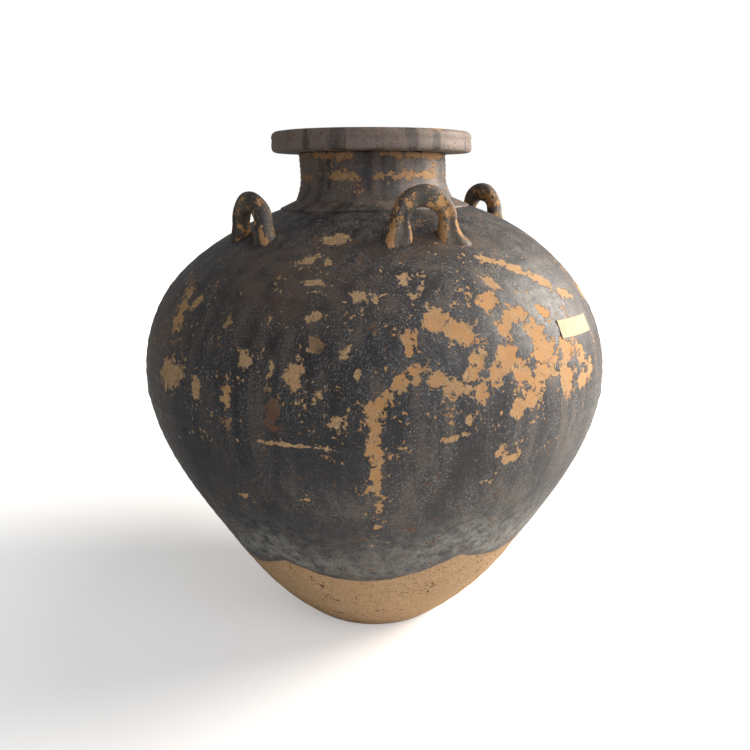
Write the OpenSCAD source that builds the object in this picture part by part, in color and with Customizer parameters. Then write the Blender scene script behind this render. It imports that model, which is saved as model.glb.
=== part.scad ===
/* [Body] */
// Radius of the flat foot that the jar stands on
foot_r = 85.5; // [75:0.5:95]
// Lean of the wall away from upright where it leaves the foot, in degrees
foot_lean = 50.5; // [46:0.5:54]
// Thickness of the floor slab
floor_t = 14; // [10:1:18]
// Radius of the soft edge round the foot
foot_round = 10; // [6:1:12]
// Radius of the wall where the spreading bottom turns upright
heel_r = 173; // [165:1:180]
// Height of that turn
heel_z = 101; // [96:1:108]
// Lean of the wall there, in degrees
heel_lean = 31; // [27:1:35]
// Radius of the belly at its widest
belly_r = 255.5; // [240:0.5:265]
// Height of the widest place
belly_z = 295; // [285:1:310]
// Radius of the shoulder half way in
shoulder_r = 221; // [212:1:228]
// Height of the shoulder there
shoulder_z = 392; // [386:1:400]
// Inward lean of the shoulder there, in degrees
shoulder_lean = 39.5; // [36:0.5:43]
// Radius at which the shoulder reaches the neck
top_r = 88; // [84:0.5:92]
// Height of the shoulder there
top_z = 473; // [468:1:480]
// Inward lean of the shoulder there, in degrees
top_lean = 75.5; // [72:0.5:78]
// Thickness of the thrown wall
wall = 12; // [9:0.5:15]
// Height of the seam where the two halves are luted together, on the outside
seam_z = 280; // [230:1:320]
// Rise of the seam from the outside to the inside of the wall
seam_rise = 9; // [4:1:14]

/* [Neck and rim] */
// Radius of the mouth
mouth_r = 66; // [60:0.5:70]
// Outer radius of the neck's straight part
neck_r = 79.5; // [76:0.5:84]
// Radius of the sharp turn at the bottom of the neck
neck_corner_r = 86; // [84.5:0.5:88]
// Height of that turn above the place where the shoulder reaches the neck
neck_corner_up = 5; // [3.5:0.5:7]
// Height of the hollow curve above the turn
cove_h = 22; // [16:1:28]
// Height of the neck above the turn, up to the rim
neck_h = 48; // [40:1:60]
// Radius of the clay ring smeared round the neck's foot
collar_r = 104; // [98:0.5:108]
// Radius of that ring's rounded edge
collar_bead = 1.6; // [1:0.1:2.2]
// Outer radius of the rim
rim_r = 108; // [100:0.5:114]
// Thickness of the rim
rim_t = 21; // [17:0.5:26]
// Rounding of the rim's outer edges
rim_round = 5.5; // [3:0.5:7]
// Depth of the wheel grooves round the rim's edge
rim_groove = 0.6; // [0.3:0.1:0.9]

/* [Lugs] */
// Direction of the lug nearest the front, in degrees from the front towards the right
lug_front_az = -11; // [-20:1:0]
// Direction of the lug at the right
lug_right_az = 95; // [85:1:105]
// Direction of the lug at the back
lug_back_az = 175; // [160:1:190]
// Direction of the lug at the left
lug_left_az = -79; // [-90:1:-68]
// Distance of the lugs from the jar's axis
lug_circle_r = 155; // [145:1:168]
// Width of the lug's eye
eye_w = 30; // [22:1:32]
// Height of the middle of the lug's arch above the shoulder
arch_up = 16; // [12:0.5:20]
// Thickness of the clay strap in the plane of the arch
strap_t = 17; // [14:0.5:20]
// Width of the clay strap across the arch
strap_w = 17; // [14:0.5:20]
// Depth of the groove along the legs of the lug
strap_groove = 2.2; // [1:0.1:3]
// Radius on which the legs splay outwards
splay_r = 60; // [52:1:72]
// Angle that the legs turn through by their ends, under the shoulder's surface
splay_angle = 46; // [42:1:50]
// Share by which the strap is thicker at those ends, where it is pressed down
foot_grow = 1.5; // [1:0.1:1.8]

/* [Glaze and tag] */
// Thickness of the glaze coat
glaze_t = 0.8; // [0.5:0.1:1.4]
// Height of the glaze edge at the bottom of the front scallop
glaze_low = 110; // [100:1:125]
// Angle at which the jar was dipped, in degrees from level
dip_angle = 50; // [40:1:56]
// Width of the paper tag
tag_w = 64; // [50:1:75]
// Height of the paper tag, measured up the shoulder
tag_h = 19; // [15:1:24]
// Thickness of the paper tag
tag_t = 0.4; // [0.3:0.1:0.8]
// Thickness of the paste under the tag
paste_t = 0.3; // [0.2:0.1:0.5]
// Direction of the middle of the tag, in degrees from the front towards the right
tag_az = 25; // [20:1:30]
// Height of the middle of the tag
tag_z = 363; // [355:1:372]

/* [Hidden] */
$fn = 96;

clay = "#b58d5e";
dark_clay = "#6b5a4a";
glaze = "#2c2d31";
paper = "#d9cba6";

// Each place on the outside of the body is [radius, height, lean]
stations = [[foot_r, 0, foot_lean], [heel_r, heel_z, heel_lean], [belly_r, belly_z, 0],
    [shoulder_r, shoulder_z, -shoulder_lean], [top_r, top_z, -top_lean]];
steps = 9;
// The shoulder runs on straight under the neck as far as the mouth
mouth_seat = [mouth_r, top_z + (top_r - mouth_r) / tan(top_lean)];

// Smooth curve from one station to the next, at t from 0 to 1
function chord(a, b) = norm([b[0] - a[0], b[1] - a[1]]);
function heading(a) = [sin(a[2]), cos(a[2])];
function spot(a, b, t) =
    (2 * t ^ 3 - 3 * t ^ 2 + 1) * [a[0], a[1]]
    + (t ^ 3 - 2 * t ^ 2 + t) * chord(a, b) * heading(a)
    + (3 * t ^ 2 - 2 * t ^ 3) * [b[0], b[1]]
    + (t ^ 3 - t ^ 2) * chord(a, b) * heading(b);
function run(a, b, t) =
    (6 * t ^ 2 - 6 * t) * [a[0] - b[0], a[1] - b[1]]
    + (3 * t ^ 2 - 4 * t + 1) * chord(a, b) * heading(a)
    + (3 * t ^ 2 - 2 * t) * chord(a, b) * heading(b);
function outward(d) = [d[1], -d[0]] / norm(d);

// Points up the wall from the foot to the mouth, moved out by grow
function wall_curve(grow) =
    let (last = stations[len(stations) - 1], push = grow * outward(heading(last)))
    concat(
        [for (i = [0 : len(stations) - 2], k = [0 : steps - 1])
            let (a = stations[i], b = stations[i + 1], t = k / steps)
                spot(a, b, t) + grow * outward(run(a, b, t))],
        [[top_r, top_z] + push, mouth_seat + push]);
outside = wall_curve(0);
inside = wall_curve(-wall);
glazed = wall_curve(glaze_t);

function radius_at(curve, z) = lookup(z, [for (p = curve) [p[1], p[0]]]);
function height_at(curve, r) = lookup(r, [for (p = curve) if (p[1] > belly_z) [p[0], p[1]]]);
// A curve's own point is left out where it would lie this near to a cut end
too_near = 0.5;
function between(curve, low, high) = concat(
    [[radius_at(curve, low), low]],
    [for (p = curve) if (p[1] > low + too_near && p[1] < high - too_near) p],
    [[radius_at(curve, high), high]]);
function back(points) = [for (i = [len(points) - 1 : -1 : 0]) points[i]];
function arc(centre, r, from, to, count) = [
    for (i = [0 : count]) let (a = from + (to - from) * i / count)
        centre + r * [cos(a), sin(a)]];

module turned(points) {
    rotate_extrude() polygon(points);
}

// A direction counts in degrees from the front, which is -Y, towards +X
module facing(az) {
    rotate([0, 0, az - 90]) children();
}

// The floor is one slab, with its edge rounded into the spreading wall
module floor_slab() {
    turn = 90 - foot_lean;
    edge_in = foot_round * tan(turn / 2);
    edge = arc([foot_r - edge_in, foot_round], foot_round, -90, turn - 90, 4);
    edge_top = edge[len(edge) - 1][1];
    rise = [for (p = between(outside, 0, floor_t)) if (p[1] > edge_top + too_near) p];
    color(clay) turned(concat([[0, 0]], edge, rise, [[0, floor_t]]));
}

seam_in = seam_z + seam_rise;
module lower_body() {
    color(clay) turned(concat(
        between(outside, floor_t, seam_z),
        back(between(inside, floor_t, seam_in))));
}

module upper_body() {
    inner_rim = [mouth_r, height_at(inside, mouth_r)];
    top_inside = [for (p = between(inside, seam_in, inner_rim[1])) if (p[0] > mouth_r + too_near) p];
    color(clay) turned(concat(
        between(outside, seam_z, mouth_seat[1]),
        back(concat(top_inside, [inner_rim]))));
}

// The neck stands on the shoulder and its foot is smeared out into a ring
neck_corner = [neck_corner_r, top_z + neck_corner_up];
neck_top = neck_corner[1] + neck_h;
// The hollow curve sets off leaning in from the turn, and the bead sits a little sunk in the shoulder
cove_lean = 26;
bead_sink = 0.4;
module neck() {
    collar_seat = [collar_r, height_at(outside, collar_r)];
    underside = [for (p = outside)
        if (p[1] > shoulder_z && p[0] > mouth_r + too_near && p[0] < collar_r - too_near) p];
    bead_middle = collar_seat + collar_bead * [-1, 1 - bead_sink];
    bead = arc(bead_middle, collar_bead, -30, 100, 5);
    cove_from = [neck_corner[0], neck_corner[1], -cove_lean];
    cove_to = [neck_r, neck_corner[1] + cove_h, 0];
    cove = [for (k = [0 : 7]) spot(cove_from, cove_to, k / 7)];
    color(dark_clay) turned(concat([mouth_seat], back(underside), [collar_seat], bead, cove,
        [[neck_r, neck_top], [mouth_r, neck_top]]));
}

// A thick flat ring, rounded outside, with fine wheel grooves round its edge
groove_half = 1.2;
groove_heights = [0.45, 0.62];
mouth_round = 3;
module rim() {
    top = neck_top + rim_t;
    corner_r = rim_r - rim_round;
    low_round = rim_round * 3 / 4;
    function groove(z) = [[rim_r, z - groove_half], [rim_r - rim_groove, z], [rim_r, z + groove_half]];
    color(dark_clay) turned(concat(
        [[mouth_r, neck_top]],
        arc([rim_r - low_round, neck_top + low_round], low_round, -90, 0, 5),
        [for (share = groove_heights) each groove(neck_top + rim_t * share)],
        arc([corner_r, top - rim_round], rim_round, 0, 90, 6),
        arc([mouth_r + mouth_round, top - mouth_round], mouth_round, 90, 180, 4)));
}

// The strap's path is [across, up, turn of its outer face from straight up]
arch_r = (eye_w + strap_t) / 2;
leg_steps = 5;
arch_steps = 10;
function leg(side, k) = let (a = splay_angle * k / leg_steps)
    [side * (arch_r + splay_r * (1 - cos(a))), -splay_r * sin(a), side * (90 - a), k / leg_steps];
strap_path = concat(
    [for (k = [leg_steps : -1 : 1]) leg(-1, k)],
    [for (k = [0 : arch_steps]) let (a = -90 + 180 * k / arch_steps)
        [arch_r * sin(a), arch_r * cos(a), a, 0]],
    [for (k = [1 : leg_steps]) leg(1, k)]);
sides = 16;

// One ring of the strap: it grows towards the foot, and the legs carry a groove
square_power = 0.85;
groove_spread = 0.35;
function squarish(c) = sign(c) * abs(c) ^ square_power;
function strap_ring(p) =
    let (half_t = strap_t / 2 * (1 + foot_grow * p[3]), half_w = strap_w / 2 * (1 + foot_grow / 2 * p[3]),
        grooved = strap_groove * (p[3] > 0 ? 1 : abs(sin(p[2]))))
    [for (i = [0 : sides - 1])
        let (a = 360 * i / sides, out = half_t * squarish(cos(a)),
            over = half_w * squarish(sin(a)) - grooved * sign(sin(a)) * exp(-(cos(a) / groove_spread) ^ 2))
            [lug_circle_r + over, p[0] + out * sin(p[2]), p[1] + out * cos(p[2])]];

module strap() {
    count = len(strap_path);
    points = [for (p = strap_path) each strap_ring(p)];
    skin = [for (j = [0 : count - 2], i = [0 : sides - 1])
        let (n = (i + 1) % sides, a = j * sides + i, b = j * sides + n)
            each [[a, b, a + sides], [b, b + sides, a + sides]]];
    first_end = [for (i = [1 : sides - 2]) [0, i + 1, i]];
    last = (count - 1) * sides;
    last_end = [for (i = [1 : sides - 2]) [last, last + i, last + i + 1]];
    translate([0, 0, height_at(outside, lug_circle_r) + arch_up])
        polyhedron(points, concat(skin, first_end, last_end));
}

// The jar's outer form round the lugs, which their feet are pressed on to
module shoulder_form() {
    low = height_at(outside, lug_circle_r) - splay_r * 2;
    turned(concat([[0, low]], between(outside, low, mouth_seat[1]), [[0, mouth_seat[1]]]));
}

module lug(az) {
    color(dark_clay) difference() {
        facing(az) strap();
        shoulder_form();
    }
}
module lug_front() { lug(lug_front_az); }
module lug_right() { lug(lug_right_az); }
module lug_back() { lug(lug_back_az); }
module lug_left() { lug(lug_left_az); }

// Each dip is [direction, how far its edge lies above the front scallop's]
dips = [[-34, 0], [21, 11], [82, 4], [145, -4], [-150, -8], [-89, -15]];
// A dip wets the jar up to a slanted plane, which cuts the round wall in a hanging curve
function dip_edge(az, d) = let (low = glaze_low + d[1])
    low + tan(dip_angle) * radius_at(outside, low) * (1 - cos(az - d[0]));
function glaze_edge(az) = min([for (d = dips) dip_edge(az, d)]);

// A thin coat on the body from the scalloped edge of the dips up to the neck's ring
glaze_columns = 90;
scallop_rows = 3;
function glaze_line(curve, az, common) =
    let (low = glaze_edge(az), high = common[0][1])
    concat([for (k = [0 : scallop_rows - 1])
        let (z = low + (high - low) * k / scallop_rows) [radius_at(curve, z), z]], common);
module glaze_coat() {
    first = steps + 3;
    last = 4 * steps - 2;
    collar_z = height_at(outside, collar_r + collar_bead);
    columns = [for (curve = [outside, glazed])
        let (common = concat([for (i = [first : 2 : last]) curve[i]], [[radius_at(curve, collar_z), collar_z]]))
            for (i = [0 : glaze_columns - 1]) glaze_line(curve, 360 * i / glaze_columns, common)];
    rows = len(columns[0]);
    points = [for (c = [0 : len(columns) - 1], p = columns[c])
        let (az = 360 * (c % glaze_columns) / glaze_columns) [p[0] * sin(az), -p[0] * cos(az), p[1]]];
    function at(layer, i, j) = (layer * glaze_columns + i % glaze_columns) * rows + j;
    skin = [for (i = [0 : glaze_columns - 1], j = [0 : rows - 2]) each [
        [at(1, i, j), at(1, i, j + 1), at(1, i + 1, j + 1)], [at(1, i, j), at(1, i + 1, j + 1), at(1, i + 1, j)],
        [at(0, i, j), at(0, i + 1, j + 1), at(0, i, j + 1)],
        [at(0, i, j), at(0, i + 1, j), at(0, i + 1, j + 1)]]];
    edges = [for (i = [0 : glaze_columns - 1]) let (t = rows - 1) each [
        [at(1, i, 0), at(1, i + 1, 0), at(0, i + 1, 0)], [at(1, i, 0), at(0, i + 1, 0), at(0, i, 0)],
        [at(1, i + 1, t), at(1, i, t), at(0, i, t)], [at(1, i + 1, t), at(0, i, t), at(0, i + 1, t)]]];
    color(glaze) polyhedron(points, concat(skin, edges));
}

// A bare strip of paper pasted on the glaze
module paper_tag() {
    lean = shoulder_lean * (tag_z - belly_z) / (shoulder_z - belly_z);
    half = tag_h / 2 * cos(lean);
    pasted = wall_curve(glaze_t + paste_t);
    back_side = between(pasted, tag_z - half, tag_z + half);
    tag_angle = tag_w / radius_at(pasted, tag_z) * 180 / PI;
    color(paper) facing(tag_az - tag_angle / 2) rotate_extrude(angle = tag_angle)
        polygon(concat(back_side, back([for (p = back_side) p + [tag_t * cos(lean), tag_t * sin(lean)]])));
}

floor_slab();
lower_body();
upper_body();
neck();
rim();
lug_front();
lug_right();
lug_back();
lug_left();
glaze_coat();
paper_tag();
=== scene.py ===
import math

import bpy
import numpy as np
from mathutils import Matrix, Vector


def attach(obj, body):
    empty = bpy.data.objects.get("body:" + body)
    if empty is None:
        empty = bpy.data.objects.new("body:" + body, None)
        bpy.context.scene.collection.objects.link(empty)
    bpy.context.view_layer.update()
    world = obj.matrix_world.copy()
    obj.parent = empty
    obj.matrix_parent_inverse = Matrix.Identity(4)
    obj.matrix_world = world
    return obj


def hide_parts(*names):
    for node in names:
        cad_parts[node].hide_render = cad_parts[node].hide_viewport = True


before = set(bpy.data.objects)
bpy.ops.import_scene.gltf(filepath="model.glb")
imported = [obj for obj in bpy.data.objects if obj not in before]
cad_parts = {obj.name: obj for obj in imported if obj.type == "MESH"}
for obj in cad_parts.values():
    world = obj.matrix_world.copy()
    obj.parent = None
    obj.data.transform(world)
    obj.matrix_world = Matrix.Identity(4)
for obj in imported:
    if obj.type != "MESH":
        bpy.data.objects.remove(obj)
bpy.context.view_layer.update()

# The view and the room: the jar stands on a plain pale floor and is seen from
# slightly above its shoulder. A big soft window of light is at the right, a
# little behind the jar, and a weaker lamp and the white room light its front.
view_az = math.radians(-28)
camera_distance, camera_height, camera_pitch = 0.8518, 0.4998, math.radians(14.71)
toward_camera = np.array([math.sin(view_az), -math.cos(view_az)])
to_the_right = np.array([math.cos(view_az), math.sin(view_az)])

camera_data = bpy.data.cameras.new("camera")
camera_data.lens, camera_data.sensor_width = 36, 36
camera = bpy.data.objects.new("camera", camera_data)
camera.location = (*(toward_camera * camera_distance), camera_height)
camera.rotation_euler = (math.pi / 2 - camera_pitch, 0, view_az)
bpy.context.collection.objects.link(camera)
bpy.context.scene.camera = camera
bpy.context.scene.view_settings.view_transform = "Standard"


def add(tree, kind, inputs=None, settings=None, out=0):
    """Add a node, fill its inputs with values or links, and give back one output."""
    node = tree.nodes.new("ShaderNode" + kind)
    for name, value in (settings or {}).items():
        setattr(node, name, value)
    for name, value in (inputs or {}).items():
        if isinstance(value, bpy.types.NodeSocket):
            tree.links.new(value, node.inputs[name])
        else:
            node.inputs[name].default_value = value
    return node.outputs[out] if node.outputs else None


def linear(code):
    """An sRGB hex colour as the linear values that the shaders take."""
    parts = [int(code[i : i + 2], 16) / 255 for i in (1, 3, 5)]
    return (*[p / 12.92 if p <= 0.04045 else ((p + 0.055) / 1.055) ** 2.4 for p in parts], 1)


def new_material(name):
    material = bpy.data.materials.new(name)
    material.use_nodes = True
    material.node_tree.nodes.clear()
    return material, material.node_tree


# Each lamp is aimed at the jar's belly. It is told by its direction from the
# camera's in degrees, its distance, height and width in metres, watts and colour.
lamps = {
    "window_light": (99, 1.7, 1.1, 1.2, 74, "#fff6ec"),
    "front_fill": (38, 2.3, 1.3, 1.6, 19, "#eef3ff"),
}
aim = Vector((0, 0, 0.28))
for name, (az, distance, height, width, watts, colour) in lamps.items():
    data = bpy.data.lights.new(name, "AREA")
    data.shape, data.size, data.energy = "DISK", width, watts
    data.color = linear(colour)[:3]
    light = bpy.data.objects.new(name, data)
    turn = view_az + math.radians(az)
    light.location = (distance * math.sin(turn), -distance * math.cos(turn), height)
    light.rotation_euler = (aim - light.location).to_track_quat("-Z", "Y").to_euler()
    bpy.context.collection.objects.link(light)

# The room shows as plain white, but it lights the jar only weakly
room_light = 0.3
world = bpy.data.worlds.new("white_room")
bpy.context.scene.world = world
world.use_nodes = True
tree = world.node_tree
tree.nodes.clear()
seen = add(tree, "LightPath", out="Is Camera Ray")
level = add(tree, "MapRange", {0: seen, 3: room_light, 4: 1.0})
sky = add(tree, "Background", {0: (1, 1, 1, 1), 1: level})
add(tree, "OutputWorld", {0: sky})

# The floor is matt white. To the camera alone it also glows a little by the jar,
# where the soft shadow stays grey, and up to plain white far from it, in metres.
floor_half = 9.0
near, far, near_lift, far_lift = 0.35, 1.5, 0.34, 1.0
corners = [(-floor_half, -floor_half, 0), (floor_half, -floor_half, 0)]
corners += [(floor_half, floor_half, 0), (-floor_half, floor_half, 0)]
floor_mesh = bpy.data.meshes.new("floor")
floor_mesh.from_pydata(corners, [], [(0, 1, 2, 3)])
floor = bpy.data.objects.new("floor", floor_mesh)
bpy.context.collection.objects.link(floor)
white_floor, tree = new_material("white_floor")
seen = add(tree, "LightPath", out="Is Camera Ray")
place = add(tree, "TexCoord", out="Object")
from_jar = add(tree, "VectorMath", {0: place}, {"operation": "LENGTH"}, out="Value")
lift = add(tree, "MapRange", {0: from_jar, 1: near, 2: far, 3: near_lift, 4: far_lift})
lift = add(tree, "Math", {0: seen, 1: lift}, {"operation": "MULTIPLY"})
matt = add(tree, "BsdfDiffuse", {"Color": linear("#f4f3f1")})
glow = add(tree, "Emission", {"Strength": lift})
both = add(tree, "AddShader", {0: matt, 1: glow})
add(tree, "OutputMaterial", {"Surface": both})
floor_mesh.materials.append(white_floor)

# The pot itself: a flat foot and a wall of stoneware thrown in two halves and
# luted together at the belly, dipped upside down in dark glaze six times, so
# that the glaze ends in hanging scallops and leaves the foot bare.
MM = 0.001
foot_r, heel_r, belly_r, shoulder_r, top_r = 85.5, 173, 255.5, 221, 88
foot_lean, heel_lean, shoulder_lean, top_lean = 50.5, 31, 39.5, 75.5
heel_z, belly_z, shoulder_z, top_z, seam_z = 101, 295, 392, 473, 280
wall, floor_t, foot_round, mouth_r = 12, 14, 10, 66
glaze_t = 0.8
# Rows of the mesh lie this many mm apart outside and inside, each curve is drawn
# in this many steps first, and this many columns go round
outer_step, inner_step, curve_steps, columns = 3.6, 14, 60, 288
stations = [
    (foot_r, 0, foot_lean), (heel_r, heel_z, heel_lean), (belly_r, belly_z, 0),
    (shoulder_r, shoulder_z, -shoulder_lean), (top_r, top_z, -top_lean),
]


def smooth(low, high, value):
    """Rise gently from 0 at the low value to 1 at the high one."""
    t = np.clip((value - low) / (high - low), 0, 1)
    return t * t * (3 - 2 * t)


def hump(value, middle, spread):
    """A soft bump of height 1 round the middle value."""
    return np.exp(-(((value - middle) / spread) ** 2))


def curve_between(a, b, count):
    """Smooth curve between two places given as radius, height and lean."""
    start, end = np.array(a[:2], float), np.array(b[:2], float)
    span = np.linalg.norm(end - start)
    leave = span * np.array([math.sin(math.radians(a[2])), math.cos(math.radians(a[2]))])
    reach = span * np.array([math.sin(math.radians(b[2])), math.cos(math.radians(b[2]))])
    t = np.linspace(0, 1, count, endpoint=False)[:, None]
    return (
        (2 * t**3 - 3 * t**2 + 1) * start + (t**3 - 2 * t**2 + t) * leave
        + (3 * t**2 - 2 * t**3) * end + (t**3 - t**2) * reach
    )


def arc(centre, r, start, end, count):
    angle = np.radians(np.linspace(start, end, count))
    return np.stack([centre[0] + r * np.cos(angle), centre[1] + r * np.sin(angle)], 1)


def evenly(points, step):
    """The same line with its points a given step apart."""
    gaps = np.hypot(*np.diff(points, axis=0).T)
    along = np.concatenate([[0], np.cumsum(gaps)])
    count = max(2, round(along[-1] / step))
    at = np.linspace(0, along[-1], count + 1)
    return np.stack([np.interp(at, along, points[:, 0]), np.interp(at, along, points[:, 1])], 1)


mouth_seat = (mouth_r, top_z + (top_r - mouth_r) / math.tan(math.radians(top_lean)))
outline = np.vstack(
    [curve_between(a, b, curve_steps) for a, b in zip(stations[:-1], stations[1:])]
    + [[(top_r, top_z)], [mouth_seat]]
)
edge_in = foot_round * math.tan(math.radians(90 - foot_lean) / 2)
foot_edge = arc((foot_r - edge_in, foot_round), foot_round, -90, -foot_lean, 6)
above_foot = outline[outline[:, 1] > foot_edge[-1][1] + 1]
outer_line = evenly(np.vstack([foot_edge, above_foot]), outer_step)
run = np.gradient(outline, axis=0)
run /= np.linalg.norm(run, axis=1)[:, None]
inside = outline + wall * np.stack([-run[:, 1], run[:, 0]], 1)
inside = inside[(inside[:, 1] > floor_t) & (inside[:, 0] > mouth_r)]
floor_round = 4
inner_line = evenly(np.vstack([inside[::-1], [(inside[0][0] - floor_round, floor_t)]]), inner_step)


def wall_radius(z):
    return np.interp(z, outline[:, 1], outline[:, 0])


def shoulder_height(r):
    upper = outline[outline[:, 1] > belly_z]
    return np.interp(-r, -upper[:, 0], upper[:, 1])


# Each swell of the wall is its height in mm, how many times it comes round, its
# turn, and the mm of height over which it turns by a radian
swells = [(1.3, 2, 0.7, 160), (0.8, 3, -1.1, -90), (0.4, 5, 0, 70)]
# They set in above the foot, and lose this share of their height by the neck
swells_in, swells_out, swells_lose = (10, 90), (440, 480), 0.6
# The shoulder is a little higher at the right, and the neck, rim and foot stand
# off to the left. Each drift is mm, and the heights between which it sets in.
slump_mm, slump_reach, slump_in, slump_out = 3.2, 150, (380, 455), (480, 530)
drifts = [(-2.0, 460, 500), (-2.2, 500, 540)]
foot_drift, foot_drift_top = -1.0, 120


def by_hand(points):
    """Leave the shape a little uneven, as the thrown and dried pot is."""
    x, y, z = points.T
    r, az = np.hypot(x, y), np.arctan2(x, -y)
    right = x * to_the_right[0] + y * to_the_right[1]
    swell = sum(high * np.sin(times * az + turn + z / pitch) for high, times, turn, pitch in swells)
    swell *= smooth(*swells_in, z) * (1 - swells_lose * smooth(*swells_out, z))
    grow = (r + swell) / np.maximum(r, 1)
    on_shoulder = smooth(*slump_in, z) * (1 - smooth(*slump_out, z))
    slump = slump_mm * np.clip(right / slump_reach, -1, 1) * on_shoulder
    drift = sum(mm * smooth(low, high, z) for mm, low, high in drifts)
    drift = drift + foot_drift * (1 - smooth(0, foot_drift_top, z))
    x, y = x * grow + drift * to_the_right[0], y * grow + drift * to_the_right[1]
    return np.stack([x, y, z + slump], 1)


def turned_points(line, columns):
    az = np.linspace(0, 2 * math.pi, columns, endpoint=False)
    r, z = line[:, 0][:, None], line[:, 1][:, None]
    return np.stack([(r * np.sin(az)).ravel(), (-r * np.cos(az)).ravel(), (z + 0 * az).ravel()], 1)


def turned_faces(rows, columns, start=0, closed=False):
    """Faces between rows of points, also from the last row to the first if closed."""
    i, j = np.meshgrid(np.arange(rows if closed else rows - 1), np.arange(columns), indexing="ij")
    n, up = (j + 1) % columns, (i + 1) % rows
    ring = [i * columns + j, i * columns + n, up * columns + n, up * columns + j]
    return np.stack(ring, -1).reshape(-1, 4) + start


def make_piece(name, points, faces, nodes, slot, material, **fields):
    """A smooth mesh piece in metres that stands for its CAD nodes and carries its fields."""
    mesh = bpy.data.meshes.new(name)
    mesh.from_pydata((points * MM).tolist(), [], [list(map(int, f)) for f in faces])
    mesh.polygons.foreach_set("use_smooth", [True] * len(mesh.polygons))
    for field, values in fields.items():
        values = np.full(len(points), values, np.float32)
        mesh.attributes.new(field, "FLOAT", "POINT").data.foreach_set("value", values)
    mesh.materials.append(material)
    mesh.update()
    piece = bpy.data.objects.new(name, mesh)
    bpy.context.collection.objects.link(piece)
    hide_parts(*nodes)
    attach(piece, "root")
    return piece


# Each dip is its direction and how far its edge lies above the front scallop's
dips = [(-34, 0), (21, 11), (82, 4), (145, -4), (-150, -8), (-89, -15)]
glaze_low, dip_angle = 110, math.radians(50)


def glaze_edge(az):
    edges = []
    for middle, up in dips:
        low = glaze_low + up
        rise = math.tan(dip_angle) * wall_radius(low)
        edges.append(low + rise * (1 - np.cos(az - math.radians(middle))))
    return np.min(edges, axis=0)


# Flaked places: direction, height, half width, half height, lean in
# degrees, and how orange the clay shows there
flakes = [
    (-78, 320, 18, 15, 20, 0.6), (-81, 376, 9, 17, 15, 0.8), (-76, 386, 5, 9, -20, 0.8),
    (-62, 377, 3, 9, 0, 0.3), (-43, 412, 12, 3, 5, 0.5), (-47, 429, 4, 4, 0, 0.4),
    (-41, 428, 3, 3, 0, 0.4), (-32, 402, 7, 5, -15, 0.4), (-41, 385, 11, 4, 10, 0.5),
    (-40, 363, 7, 8, 0, 0.2), (-44, 341, 8, 15, -15, 0.7), (-55, 348, 9, 6, 0, 0.4),
    (-49, 342, 3, 9, 0, 0.5), (-68, 315, 5, 13, 10, 0.6), (-59, 313, 5, 11, 0, 0.8),
    (-48, 306, 8, 14, 0, 0.1), (-59, 290, 5, 8, 0, 0.2), (-44, 279, 27, 2, 0, 0.5),
    (-35, 300, 7, 8, 30, 0.5), (-31, 342, 3, 8, 0, 0.5), (-34, 359, 4, 5, 0, 0.4),
    (-21, 415, 5, 6, 0, 0.7), (-19, 402, 8, 3, -35, 0.7), (-15, 391, 9, 3, -25, 0.7),
    (-15, 380, 10, 8, -20, 0.9), (-10, 372, 14, 9, -25, 0.9), (-7, 350, 7, 16, -25, 0.9),
    (-9, 338, 9, 7, 0, 0.9), (-21, 362, 5, 16, 8, 0.9), (-20, 345, 10, 10, 20, 0.9),
    (-23, 334, 11, 8, 35, 0.9), (-26, 322, 10, 8, 30, 0.9), (-28, 308, 9, 14, 0, 0.9),
    (-28, 282, 6, 20, 2, 0.9), (-28, 250, 4, 22, 0, 0.9), (-27, 222, 3, 18, 0, 0.8),
    (-27, 195, 2, 14, 0, 0.7), (-16, 338, 10, 5, 10, 0.8), (-12, 330, 12, 6, -10, 0.8),
    (-7, 326, 9, 9, 15, 0.8), (-3, 336, 8, 9, 0, 0.9), (0, 352, 9, 12, -20, 0.9),
    (1, 374, 10, 12, -25, 0.9), (-1, 392, 8, 8, -30, 0.9), (6, 384, 12, 8, -20, 0.9),
    (9, 368, 13, 11, 0, 0.9), (14, 380, 12, 7, -25, 0.9), (3, 334, 11, 12, 0, 0.9),
    (10, 350, 15, 10, 0, 0.9), (9, 330, 17, 13, 0, 1.0), (17, 344, 12, 14, -10, 0.9),
    (16, 322, 13, 13, 15, 0.9), (24, 336, 10, 12, 0, 0.9), (23, 314, 9, 9, 0, 0.9),
    (28, 322, 6, 8, 0, 0.8), (5, 312, 8, 8, 0, 0.9), (1, 304, 7, 9, 0, 0.8),
    (7, 424, 16, 4, -25, 0.8), (14, 416, 18, 5, -30, 0.8), (21, 404, 16, 6, -30, 0.7),
    (2, 408, 9, 4, -30, 0.7), (28, 392, 12, 5, -20, 0.6), (-12, 287, 15, 3, 12, 0.7),
    (1, 258, 10, 5, 15, 0.8), (-2, 266, 4, 7, 20, 0.8), (-59, 213, 5, 3, 10, 0.8),
    (-43, 224, 3, 3, 0, 0.8), (-10, 300, 4, 5, 0, 0.7), (48, 380, 22, 10, -20, 0.8),
    (60, 342, 17, 22, 10, 0.9), (75, 300, 10, 18, 0, 0.7), (98, 366, 26, 12, 0, 0.8),
    (112, 322, 15, 17, 20, 0.6), (131, 388, 14, 10, 0, 0.5), (148, 306, 8, 26, 0, 0.8),
    (166, 352, 21, 12, 15, 0.7), (190, 318, 14, 9, 0, 0.4), (205, 380, 17, 8, -10, 0.6),
    (222, 284, 24, 4, 0, 0.5), (236, 340, 12, 16, 0, 0.7), (255, 392, 10, 8, 20, 0.5),
    (262, 254, 8, 12, 0, 0.6), (88, 232, 9, 12, 0, 0.6), (170, 240, 6, 16, 0, 0.5),
]
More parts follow.
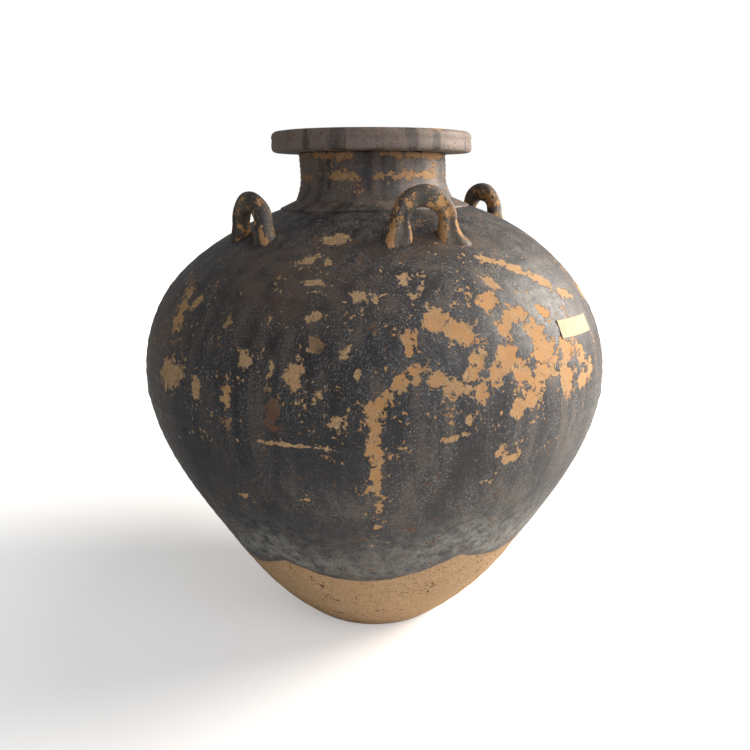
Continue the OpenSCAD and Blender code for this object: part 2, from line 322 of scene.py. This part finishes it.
# The same form holds the wide tones of the glaze, with painted shade among the
# blue-black ones, and the bare scar by the front lug where a comb dragged the clay
brown_tones = [
    (-52, 415, 70, 40, 0, 1), (-85, 350, 40, 50, 0, 1), (-10, 440, 60, 12, 0, 1),
    (60, 400, 60, 30, 0, 1), (150, 330, 80, 60, 0, 1),
]
# The first three blue-black places lie on the jar's left in the view and are painted shade; the
# others are a darker tone of the glaze
blue_tones_and_painted_shade = [
    (-70, 240, 80, 70, 0, 1), (-40, 270, 50, 35, 0, 1), (-45, 180, 80, 30, 0, 1),
    (30, 210, 60, 30, 0, 1), (120, 240, 90, 50, 0, 1), (230, 300, 60, 80, 0, 1),
]
comb_scar = [(-41.5, 446, 15, 8, 0, 0.3)]
# A place's field falls by half at its edge, and heights are stretched on the
# shoulder, where a step in height is a longer way along the wall
half_at_edge, stretch_over, least_stretch = 0.69, 160, 0.35


def flaked(points, places):
    """How far each point is worn, from 1 in the middle of a place to half at its edge."""
    x, y, z = points.T
    r, az = np.hypot(x, y), np.degrees(np.arctan2(x, -y))
    worn, orange, total = np.zeros(len(z)), np.zeros(len(z)), np.full(len(z), 1e-6)
    for middle, height, half_w, half_h, lean, tone in places:
        across = np.radians((az - middle + 180) % 360 - 180) * r
        up = (z - height) / np.clip(np.cos((z - belly_z) / stretch_over), least_stretch, 1)
        c, s = math.cos(math.radians(lean)), math.sin(math.radians(lean))
        gap = ((across * c + up * s) / half_w) ** 2 + ((up * c - across * s) / half_h) ** 2
        field = np.exp(-half_at_edge * gap)
        worn = np.maximum(worn, field)
        orange += tone * field
        total += field
    return worn, orange / total


body_outside = turned_points(outer_line, columns)
body_az = np.arctan2(body_outside[:, 0], -body_outside[:, 1])
z = body_outside[:, 2]
above = z - glaze_edge(body_az)
worn, orange = flaked(body_outside, flakes)
# Each set of the wheel's ridges is its height and its spacing in mm. They are
# weaker under the glaze, and the seam stands a little proud.
ridges, ridges_in = [(0.35, 11), (0.2, 17.3)], (4, 25)
filled, filled_over, seam_proud, seam_spread = 0.45, (0, 20), 0.7, 5
wheel = sum(high * np.sin(z / pitch * 2 * math.pi) for high, pitch in ridges)
wheel *= (1 - filled * smooth(*filled_over, above)) * smooth(*ridges_in, z)
seam = seam_proud * hump(z, seam_z, seam_spread)
# The coat thickens over these mm at its lower edge, and thins where it is worn
coat_edge, thinned, thinned_over = (-1, 5), 0.7, (0.4, 0.7)
coat = glaze_t * smooth(*coat_edge, above) * (1 - thinned * smooth(*thinned_over, worn))
outward = body_outside[:, :2] / np.hypot(*body_outside[:, :2].T)[:, None]
body_outside[:, :2] += outward * (wheel + seam + coat)[:, None]

body_inside = turned_points(inner_line, columns)
body_points = by_hand(np.vstack([body_outside, body_inside]))
rows_out, rows_in = len(outer_line), len(inner_line)
inner_start = rows_out * columns
body_faces = turned_faces(rows_out, columns).tolist()
body_faces += turned_faces(rows_in, columns, inner_start).tolist()
last_row = inner_start - columns
for j in range(columns):
    n = (j + 1) % columns
    body_faces.append([last_row + j, last_row + n, inner_start + n, inner_start + j])
body_faces.append(list(range(columns - 1, -1, -1)))
body_faces.append([inner_start + (rows_in - 1) * columns + j for j in range(columns)])


def worn_stoneware(name, glazes, clay_bright, clay_dark, rough, speck):
    """Iron-dark ash glaze on buff stoneware, flaked and scoured down to the clay.

    The glaze is satin, speckled and a little runny, and the clay under it is dry and sandy.
    """
    material, tree = new_material(name)
    multiply, multiply_add = {"operation": "MULTIPLY"}, {"operation": "MULTIPLY_ADD"}
    subtract, largest = {"operation": "SUBTRACT"}, {"operation": "MAXIMUM"}
    place = add(tree, "TexCoord", out="Object")
    field = {}
    for label in ("worn", "above", "mottled", "orange", "brown", "blue", "combed"):
        field[label] = add(tree, "Attribute", settings={"attribute_name": label}, out="Fac")

    # Each grain is its size in mm, its detail and its roughness
    grains = {
        "flaking": (26, 5, 0.65), "islands": (7, 4, 0.65), "specks": (5.5, 2, 0.5),
        "chipping": (26, 2, 0.6), "chips": (4.2, 3, 0.6), "edge": (9, 3, 0.6),
        "clay": (30, 4, 0.6), "grit": (1.8, 2, 0.6), "rust": (15, 4, 0.6),
        "tone": (70, 3, 0.6), "speckle": (1.7, 3, 0.7), "brown": (18, 4, 0.6),
        "ash": (11, 5, 0.7), "fine": (2.2, 4, 0.6), "gloss": (6, 4, 0.6),
    }
    grain = {}
    for label, (size, detail, roughness) in grains.items():
        scale = {"Scale": 1 / MM / size, "Detail": detail, "Roughness": roughness}
        grain[label] = add(tree, "TexNoise", {"Vector": place, **scale})
    # The glaze ran down the wall in streaks about 8 mm wide and 90 mm long
    streak, stretch = 16, 0.09
    stretched = add(tree, "VectorMath", {0: place, 1: (1, 1, stretch)}, multiply)
    streaks = {"Vector": stretched, "Scale": 1 / MM / streak, "Detail": 4.0}
    grain["streaks"] = add(tree, "TexNoise", streaks)

    # Where glaze is gone: in flaked places, with islands of it left inside them,
    # in small specks, in chips, and below the edge of the dips
    islands = add(tree, "Math", {0: grain["islands"], 1: 1.5}, multiply)
    ragged = add(tree, "Math", {0: grain["flaking"], 1: 1.1, 2: islands}, multiply_add)
    ragged = add(tree, "Math", {0: ragged, 1: 1.3}, subtract)
    flaking = add(tree, "Math", {0: field["worn"], 1: 0.66, 2: ragged}, multiply_add)
    chipping = add(tree, "Math", {0: grain["chipping"], 1: grain["chips"]}, multiply)
    waver = add(tree, "Math", {0: grain["edge"], 1: 0.5}, subtract)
    waver = add(tree, "Math", {0: waver, 1: 3.0, 2: field["above"]}, multiply_add)

    # Each ramp is what it reads, the values where it starts and ends, and what it gives there
    ramps = {
        "flaked": (flaking, 0.3, 0.35, 0, 1),
        "specks": (grain["specks"], 0.69 - speck, 0.72 - speck, 0, 1),
        "chips": (chipping, 0.385 - speck, 0.40 - speck, 0, 1),
        "dipped": (waver, -0.8, 0.9, 0, 1),
        "grit": (grain["grit"], 0.35, 0.75, 0, 1),
        "rust": (grain["rust"], 0.3, 0.62, 0, 1),
        "orange": (field["orange"], 0.6, 0.9, 0, 1),
        "burnt": (field["orange"], 0.4, 0.1, 0, 1),
        "tone": (grain["tone"], 0.35, 0.65, 0, 1),
        "speckle": (grain["speckle"], 0.52, 0.64, 0, 1),
        "dark_streaks": (grain["streaks"], 0.5, 0.62, 0, 0.7),
        "pale_streaks": (grain["streaks"], 0.46, 0.36, 0, 0.4),
        "brown": (grain["brown"], 0.3, 0.6, 0, 1),
        "ash": (grain["ash"], 0.42, 0.62, 0, 1),
    }
    ramp = {}
    for label, values in ramps.items():
        ramp[label] = add(tree, "MapRange", dict(enumerate(values)))
    gone = add(tree, "Math", {0: ramp["specks"], 1: ramp["chips"]}, largest)
    gone = add(tree, "Math", {0: ramp["flaked"], 1: gone}, largest)
    kept = add(tree, "Math", {0: 1.0, 1: gone}, subtract)
    glazed = add(tree, "Math", {0: ramp["dipped"], 1: kept}, multiply)

    # The clay is buff and gritty, rust-orange or burnt brown where it was laid bare
    rusty = add(tree, "Math", {0: ramp["orange"], 1: ramp["rust"]}, multiply)
    clay_layers = [
        (grain["clay"], clay_bright),
        (ramp["grit"], "#8a6238"),
        (add(tree, "Math", {0: rusty, 1: gone}, multiply), "#b38556"),
        (add(tree, "Math", {0: ramp["burnt"], 1: gone}, multiply), "#5e4434"),
    ]
    # The glaze is two dark tones with a pale speckle, streaks, brown and blue-black
    # clouds, and greenish ash above its lower edge; some of the blue-black and brown is painted
    # shade
    glaze_layers = [
        (ramp["tone"], glazes[1]),
        (ramp["speckle"], glazes[2]),
        (ramp["dark_streaks"], "#161518"),
        (ramp["pale_streaks"], "#6a5d50"),
        # Brown clouds of the glaze, and on the rim painted shade in the turned lines
        (add(tree, "Math", {0: field["brown"], 1: ramp["brown"]}, multiply), "#5a4a3e"),
        # Blue-black: painted shade on the jar's left, elsewhere a dark tone of the glaze and the
        # neck's drip
        (add(tree, "Math", {0: field["blue"], 1: 0.75}, multiply), "#15161d"),
        (add(tree, "Math", {0: field["mottled"], 1: ramp["ash"]}, multiply), "#7d8078"),
    ]
    coats, rgba = [], {"data_type": "RGBA"}
    for ground, layers in ((clay_dark, clay_layers), (glazes[0], glaze_layers)):
        colour = linear(ground)
        for share, over in layers:
            colour = add(tree, "Mix", {0: share, 6: colour, 7: linear(over)}, rgba, out=2)
        coats.append(colour)
    colour = add(tree, "Mix", {0: glazed, 6: coats[0], 7: coats[1]}, rgba, out=2)

    # The glaze stands above the clay, both are a little rough, and the comb's
    # ridges in the scar are 1.9 mm apart in height
    comb_pitch = 1.9
    coarse = add(tree, "Math", {0: grain["edge"], 1: 0.35}, multiply)
    relief = add(tree, "Math", {0: grain["fine"], 1: 0.25, 2: coarse}, multiply_add)
    relief = add(tree, "Math", {0: glazed, 1: 0.9, 2: relief}, multiply_add)
    height = add(tree, "SeparateXYZ", {0: place}, out="Z")
    combed = add(tree, "Math", {0: height, 1: 2 * math.pi / (comb_pitch * MM)}, multiply)
    combed = add(tree, "Math", {0: combed}, {"operation": "SINE"})
    combed = add(tree, "Math", {0: combed, 1: field["combed"]}, multiply)
    relief = add(tree, "Math", {0: combed, 1: 0.6, 2: relief}, multiply_add)
    bump = add(tree, "Bump", {"Strength": 0.75, "Distance": 1.1 * MM, "Height": relief})

    # Bare clay is dull at 0.9, and the gloss of both wanders a little
    dull = add(tree, "MapRange", {0: glazed, 1: 0.0, 2: 1.0, 3: 0.9, 4: rough})
    wander = add(tree, "Math", {0: grain["gloss"], 1: 0.5}, subtract)
    dull = add(tree, "Math", {0: wander, 1: 0.3, 2: dull}, multiply_add)
    looks = {"Base Color": colour, "Roughness": dull, "IOR": 1.5, "Normal": bump}
    add(tree, "OutputMaterial", {"Surface": add(tree, "BsdfPrincipled", looks)})
    return material


brown, blue = flaked(body_outside, brown_tones)[0], flaked(body_outside, blue_tones_and_painted_shade)[0]
combed = flaked(body_outside, comb_scar)[0]
worn, orange = np.maximum(worn, combed), np.where(combed > 0.5, 0.5, orange)
# The ash lies in a band above the glaze's edge, and a quarter of it comes and
# goes in five slanting patches round the pot
ash_in, ash_out, ash_patchy, patches, patch_slant = (0, 12), (20, 85), 0.25, 5, 25
mottled = smooth(*ash_in, above) * (1 - smooth(*ash_out, above))
mottled *= 1 - ash_patchy + ash_patchy * np.sin(patches * body_az + above / patch_slant)
body_fields = {
    "worn": worn, "above": above, "mottled": mottled, "orange": orange,
    "brown": brown, "blue": blue, "combed": combed,
}
# Inside, the pot is bare, which is told by a place far below the glaze edge
inside_values = {label: -20.0 if label == "above" else 0.0 for label in body_fields}
for label, values in body_fields.items():
    body_fields[label] = np.concatenate([values, np.full(len(body_inside), inside_values[label])])
glazed_pot = worn_stoneware(
    "iron_glazed_stoneware", ("#252529", "#35322f", "#727170"), "#c6ab86", "#a98d68", 0.54, 0.012
)
make_piece(
    "jar_body", body_points, body_faces, ["floor_slab", "lower_body", "upper_body", "glaze_coat"],
    "worn_glaze", glazed_pot, **body_fields,
)

# The neck: thrown apart and luted on, with its foot smeared out in a low ring.
# It was glazed with the pot and is rubbed to a dull purple-brown, with tan clay
# in bands under the rim and half way down, and one dark drip down the front.
neck_corner, neck_r, cove_h, neck_h = (86, top_z + 5), 79.5, 22, 48
collar_r, bead_r, collar_sink, cove_lean = 104, 1.6, 3, 26
bore_low, bore_step, neck_step, neck_columns = 468, 6, 2.2, 240
# Neck, rim and lugs were dipped whole, which is told as mm above the glaze edge
fully_glazed = 20.0
neck_top = neck_corner[1] + neck_h
collar_z = shoulder_height(collar_r)
bead = arc((collar_r - bead_r, collar_z + bead_r * 0.6), bead_r, -40, 100, 8)
cove = curve_between((*neck_corner, -cove_lean), (neck_r, neck_corner[1] + cove_h, 0), 14)
neck_outside = evenly(np.vstack([
    [(collar_r - 1, collar_z - collar_sink)], bead, cove,
    [(neck_r, neck_corner[1] + cove_h)], [(neck_r, neck_top)],
]), neck_step)
neck_bore = evenly(np.array([(mouth_r, neck_top - 1), (mouth_r, bore_low)]), bore_step)
neck_line = np.vstack([neck_outside, [(mouth_r, neck_top)], neck_bore])
neck_points = turned_points(neck_line, neck_columns)
neck_radius = np.hypot(neck_points[:, 0], neck_points[:, 1])
neck_az = np.degrees(np.arctan2(neck_points[:, 0], -neck_points[:, 1]))
neck_z = neck_points[:, 2]
ripple_high, ripple_pitch, ripple_in = 0.35, 5.5, (482, 492)
ripple = ripple_high * np.sin(neck_z / ripple_pitch * 2 * math.pi)
ripple *= smooth(*ripple_in, neck_z)
neck_points[:, :2] *= (1 + ripple / np.maximum(neck_radius, 1))[:, None]
drip_az, drip_spread, drip_end = -34, 5.5, (497, 505)
drip = hump(neck_az, drip_az, drip_spread) * smooth(*drip_end, neck_z)
# Each tan band is its height, its spread, how worn it is, and how much, how
# often and from which turn that wavers round the neck
tan_bands = [(522, 4.5, 0.72, 0.15, 5, 0), (502, 6.0, 0.64, 0.12, 7, 40)]
rubbed_bands = [
    hump(neck_z, height, spread) * (share + waver * np.sin(np.radians(neck_az * times + turn)))
    for height, spread, share, waver, times, turn in tan_bands
]
neck_worn = np.clip(np.max(rubbed_bands, axis=0) - drip, 0, 1)
neck_glaze = worn_stoneware(
    "rubbed_neck_glaze", ("#45393a", "#66564c", "#7e6c5e"), "#b9976f", "#987656", 0.6, 0.01
)
neck_faces = turned_faces(len(neck_line), neck_columns, closed=True).tolist()
make_piece(
    "jar_neck", by_hand(neck_points), neck_faces, ["neck"], "worn_glaze", neck_glaze,
    worn=neck_worn, above=fully_glazed, mottled=0.25, orange=0.6, blue=drip,
)

# The rim: a thick flat ring of the same clay, turned on the wheel, which left
# three fine lines round its edge. Its glaze is worn to an even grey-brown, and the lines are
# painted darker brown as shade in the grooves.
rim_r, rim_t, rim_round, mouth_round = 108, 21, 5.5, 3
low_round, rim_step = rim_round * 0.75, 2.4
line_heights, line_deep, line_spread = (0.45, 0.62, 0.78), 0.9, 0.9
rim_top = neck_top + rim_t
rim_line = evenly(np.vstack([
    [(mouth_r, neck_top)],
    arc((rim_r - low_round, neck_top + low_round), low_round, -90, 0, 8),
    arc((rim_r - rim_round, rim_top - rim_round), rim_round, 0, 90, 10),
    arc((mouth_r + mouth_round, rim_top - mouth_round), mouth_round, 90, 180, 6),
    [(mouth_r, neck_top + 0.5)],
]), rim_step)
rim_points = turned_points(rim_line, neck_columns)
rim_radius = np.hypot(rim_points[:, 0], rim_points[:, 1])
rim_z = rim_points[:, 2] - neck_top
on_edge = smooth(rim_r - 6, rim_r - 2, rim_radius)
lines = sum(hump(rim_z, rim_t * share, line_spread) for share in line_heights) * on_edge
rim_points[:, :2] *= (1 - line_deep * lines / np.maximum(rim_radius, 1))[:, None]
rim_spots = [
    (-66, 535, 3, 4, 0, 0.2), (-20, 545, 8, 3, 0, 0.7), (10, 546, 10, 3, 0, 0.7),
    (60, 545, 12, 3, 0, 0.7),
]
rim_worn, rim_orange = flaked(rim_points, rim_spots)
rim_glaze = worn_stoneware(
    "rubbed_rim_glaze", ("#65564f", "#77665d", "#8f7e70"), "#a78d76", "#8c7764", 0.66, -0.01
)
rim_faces = turned_faces(len(rim_line), neck_columns, closed=True).tolist()
make_piece(
    "jar_rim", by_hand(rim_points), rim_faces, ["rim"], "worn_glaze", rim_glaze,
    # The brown in the turned lines is painted shade in the grooves
    worn=rim_worn, above=fully_glazed, mottled=0.15, orange=rim_orange, brown=0.5 * lines,
)

# Four lugs for tying down the cover: each is a strap of clay bent into an arch,
# pressed on to the shoulder with splayed feet, grooved down its legs, and worn
# to tan clay wherever a cord or a hand has rubbed it.
lug_circle_r, eye_w, arch_up, strap_t, strap_w, strap_groove = 155, 30, 16, 17, 17, 2.2
splay_r, splay_angle = 60, math.radians(46)
foot_grow, foot_widen, crown_grow = 1.5, 0.9, 0.22
squareness, groove_spread, groove_fade = 0.88, 0.36, 1.5
edge_at, edge_spread, edge_wear, crown_wear, under_wear = 0.7, 0.35, 0.85, 0.2, 0.5
wear_mean, wear_waver = 0.8, 0.25
lug_rings, lug_sides = 84, 40
# Each lump of the hand-rolled strap is its share of the thickness, its length in
# mm for a radian, and how many times the lug's own phase turns it
lumps = [(0.05, 9, 1), (0.03, 4.3, 2)]
lug_glaze = worn_stoneware(
    "rubbed_lug_glaze", ("#40372f", "#5a4e42", "#756858"), "#bd9868", "#9a7a55", 0.66, 0.03
)
# Each lug is its direction, its size against the usual one, a phase for its
# unevenness, and how many mm lower than drawn it sits
lugs = {
    "front": (-11, 1.0, 0.0, 2), "right": (95, 0.98, 1.7, 4),
    "back": (175, 1.0, 3.1, 2), "left": (-79, 0.94, 4.4, 4),
}


def squared(value):
    """Bring a sine or cosine nearer to 1, which makes the strap's section squarer."""
    return math.copysign(abs(value) ** squareness, value)


def lug_points(az, size, phase, sink):
    arch_r = (eye_w + strap_t) / 2 * size
    leg, half = splay_angle * splay_r, arch_r * math.pi / 2
    points, rubbed = [], []
    for s in np.linspace(-(half + leg), half + leg, lug_rings):
        side = -1 if s < 0 else 1
        if abs(s) <= half:
            face, share, crown = s / arch_r, 0.0, math.cos(s / half * math.pi / 2) ** 2
            across, up = arch_r * math.sin(face), arch_r * math.cos(face)
            groove = strap_groove * abs(math.sin(face)) ** groove_fade
        else:
            b = (abs(s) - half) / splay_r
            face, share, crown = side * (math.pi / 2 - b), b / splay_angle, 0
            across, up = side * (arch_r + splay_r * (1 - math.cos(b))), -splay_r * math.sin(b)
            groove = strap_groove
        lumpy = 1 + sum(part * math.sin(s / long + times * phase) for part, long, times in lumps)
        half_t = strap_t / 2 * (1 + crown_grow * crown + foot_grow * share**0.9) * lumpy * size
        half_w = strap_w / 2 * (1 + foot_widen * share) * lumpy
        for t in np.linspace(0, 2 * math.pi, lug_sides, endpoint=False):
            c, d = math.cos(t), math.sin(t)
            out = half_t * squared(c)
            over = half_w * squared(d) - groove * math.copysign(hump(c, 0, groove_spread), d)
            x_here, z_here = across + out * math.sin(face), up + out * math.cos(face)
            points.append((x_here, lug_circle_r + over, z_here))
            on_leg = edge_wear * hump(abs(c), edge_at, edge_spread)
            on_arch = crown_wear if c > 0.5 else under_wear
            uneven = wear_mean + wear_waver * math.sin(s / 7 + 3 * t + phase)
            rubbed.append((on_leg if share else on_arch) * uneven)
    points, turn = np.array(points), math.radians(az)
    x = points[:, 0] * math.cos(turn) + points[:, 1] * math.sin(turn)
    y = points[:, 0] * math.sin(turn) - points[:, 1] * math.cos(turn)
    base = shoulder_height(lug_circle_r) + arch_up - sink
    return np.stack([x, y, points[:, 2] + base], 1), np.clip(rubbed, 0, 1)


for where, (az, size, phase, sink) in lugs.items():
    points, rubbed = lug_points(az, size, phase, sink)
    faces = turned_faces(lug_rings, lug_sides).tolist()
    faces.append(list(range(lug_sides - 1, -1, -1)))
    faces.append([len(points) - lug_sides + j for j in range(lug_sides)])
    make_piece(
        f"lug_of_clay_{where}", by_hand(points), faces, [f"lug_{where}"], "worn_glaze", lug_glaze,
        worn=rubbed, above=fully_glazed, mottled=0.1, orange=0.8,
    )

# A bare strip of gummed paper tape stuck on the shoulder, cream with age, with
# its edges a little rough and the ends of it lifting from the glaze.
tag_w, tag_h, tag_t, tag_az, tag_z, tag_tilt, tag_lean = 64, 19, 0.4, 25, 363, -2.0, 30
paste_t, end_lift, side_rough, end_rough = 0.25, 0.5, 0.35, 0.3
across_count, up_count = 48, 14
tag_points = []
for layer in (paste_t, paste_t + tag_t):
    for v in np.linspace(-0.5, 0.5, up_count):
        for u in np.linspace(-0.5, 0.5, across_count):
            rough_edge = side_rough * math.sin(u * 90 + v * 9) * (abs(v) > 0.49)
            rough_edge += end_rough * math.sin(v * 40) * (abs(u) > 0.49)
            up = v * tag_h + u * tag_w * math.tan(math.radians(tag_tilt)) + rough_edge
            z_here = tag_z + up * math.cos(math.radians(tag_lean))
            lifted = end_lift * smooth(0.44, 0.5, abs(u)) * abs(v)
            r_here = float(wall_radius(z_here)) + glaze_t + layer + lifted
            a = math.radians(tag_az) + u * tag_w / float(wall_radius(tag_z))
            tag_points.append((r_here * math.sin(a), -r_here * math.cos(a), z_here))
tag_faces, sheet = [], across_count * up_count
for j in range(up_count - 1):
    for i in range(across_count - 1):
        a = j * across_count + i
        b = a + across_count
        tag_faces.append([sheet + a, sheet + a + 1, sheet + b + 1, sheet + b])
        tag_faces.append([b, b + 1, a + 1, a])
border = list(range(across_count))
border += [j * across_count + across_count - 1 for j in range(1, up_count)]
border += [sheet - 2 - i for i in range(across_count - 1)]
border += [j * across_count for j in range(up_count - 2, 0, -1)]
for a, b in zip(border, border[1:] + border[:1]):
    tag_faces.append([a, b, sheet + b, sheet + a])

paper_tape, tree = new_material("aged_paper_tape")
place = add(tree, "TexCoord", out="Object")
# Paper fibres are drawn about 1 mm long, coarser than real, so that they show
fibre_size, stain_size = 1.2, 14
fibre = add(tree, "TexNoise", {"Vector": place, "Scale": 1 / MM / fibre_size, "Detail": 3.0})
stain = add(tree, "TexNoise", {"Vector": place, "Scale": 1 / MM / stain_size, "Detail": 3.0})
creams = {0: stain, 6: linear("#c4b898"), 7: linear("#b0a182")}
cream = add(tree, "Mix", creams, {"data_type": "RGBA"}, out=2)
bump = add(tree, "Bump", {"Strength": 0.4, "Distance": 0.3 * MM, "Height": fibre})
looks = {"Base Color": cream, "Roughness": 0.85, "Normal": bump}
add(tree, "OutputMaterial", {"Surface": add(tree, "BsdfPrincipled", looks)})
make_piece(
    "paper_strip", by_hand(np.array(tag_points)), tag_faces, ["paper_tag"], "tan_paper", paper_tape
)
